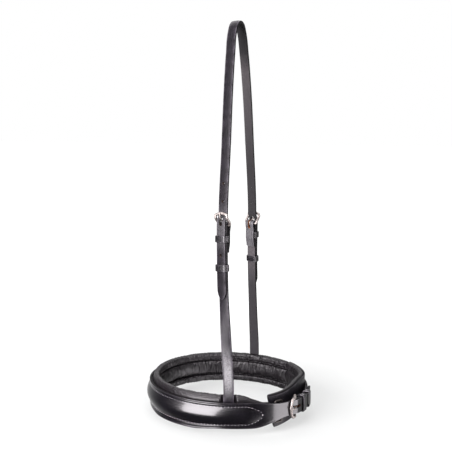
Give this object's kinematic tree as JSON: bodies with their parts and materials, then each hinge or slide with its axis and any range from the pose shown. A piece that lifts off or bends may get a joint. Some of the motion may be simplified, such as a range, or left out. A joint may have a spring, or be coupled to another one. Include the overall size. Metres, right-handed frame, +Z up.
{
  "type": "bridle noseband",
  "caption": "Padded, raised English noseband hanging on its head strap, with a buckle and keepers on each cheek and a buckled chin strap over a chin pad.",
  "frame": {"origin": "inner top of the head strap, where it lies on the horse's poll", "axes": "+Z up along the hanging straps, -X the way the horse's nose points, +X the chin, -Y the near side, +Y the off side"},
  "size_m": [0.2153, 0.185, 0.4914],
  "materials": {
    "bridle_leather": "black, smooth, waxed",
    "keeper_leather": "black, smooth",
    "padded_leather": "black, soft, lightly wrinkled",
    "filler": "raw",
    "steel": "polished stainless"
  },
  "bodies": {
    "noseband": {"head_strap": "bridle_leather", "near_cheek_strap": "bridle_leather", "off_cheek_strap": "bridle_leather", "near_cheek_fixed_keeper": "keeper_leather", "off_cheek_fixed_keeper": "keeper_leather", "nose_lining": "padded_leather", "nose_backing_strap": "bridle_leather", "raised_core": "filler", "nose_front_strap": "bridle_leather", "chin_strap": "bridle_leather", "chin_fixed_keeper": "keeper_leather", "chin_pad": "padded_leather", "chin_pad_backing": "bridle_leather", "pad_end_tab": "keeper_leather"},
    "near_frame": {"near_cheek_buckle_frame": "steel"},
    "near_tongue": {"near_cheek_buckle_tongue": "steel"},
    "near_runner": {"near_cheek_runner_keeper": "keeper_leather"},
    "off_frame": {"off_cheek_buckle_frame": "steel"},
    "off_tongue": {"off_cheek_buckle_tongue": "steel"},
    "off_runner": {"off_cheek_runner_keeper": "keeper_leather"},
    "chin_frame": {"chin_buckle_frame": "steel"},
    "chin_tongue": {"chin_buckle_tongue": "steel"},
    "chin_runner": {"chin_runner_keeper": "keeper_leather"},
    "end_loop": {"pad_end_loop": "steel"}
  },
  "joints": [
    {"name": "near_frame_hinge", "type": "hinge", "parent": "noseband", "child": "near_frame", "pos_m": [-0.0012, -0.06743, -0.23716], "axis": [0.8918, -0.4482, 0.0615], "range_deg": [0, 5]},
    {"name": "near_tongue_hinge", "type": "hinge", "parent": "near_frame", "child": "near_tongue", "pos_m": [-0.0012, -0.06743, -0.23716], "axis": [0.8918, -0.4482, 0.0615], "range_deg": [0, 8]},
    {"name": "near_runner_slide", "type": "slide", "parent": "noseband", "child": "near_runner", "axis": [0.0313, -0.0734, -0.9968], "range_m": [-0.012, 0.012]},
    {"name": "off_frame_hinge", "type": "hinge", "parent": "noseband", "child": "off_frame", "pos_m": [0.00582, 0.06736, -0.25493], "axis": [-0.8914, 0.4479, 0.069], "range_deg": [0, 5]},
    {"name": "off_tongue_hinge", "type": "hinge", "parent": "off_frame", "child": "off_tongue", "pos_m": [0.00582, 0.06736, -0.25493], "axis": [-0.8914, 0.4479, 0.069], "range_deg": [0, 8]},
    {"name": "off_runner_slide", "type": "slide", "parent": "noseband", "child": "off_runner", "axis": [0.0002, 0.0768, -0.997], "range_m": [-0.012, 0.012]},
    {"name": "chin_frame_hinge", "type": "hinge", "parent": "noseband", "child": "chin_frame", "pos_m": [0.08154, -0.03848, -0.462], "axis": [0, 0, 1], "range_deg": [0, 5]},
    {"name": "chin_tongue_hinge", "type": "hinge", "parent": "chin_frame", "child": "chin_tongue", "pos_m": [0.08154, -0.03848, -0.462], "axis": [0, 0, 1], "range_deg": [0, 8]},
    {"name": "chin_runner_slide", "type": "slide", "parent": "noseband", "child": "chin_runner", "axis": [0.1112, 0.9938, 0], "range_m": [-0.0035, 0.0035]},
    {"name": "end_loop_hinge", "type": "hinge", "parent": "noseband", "child": "end_loop", "pos_m": [0.06644, -0.04877, -0.4674], "axis": [0, 0, 1], "range_deg": [-4, 15]}
  ]
}
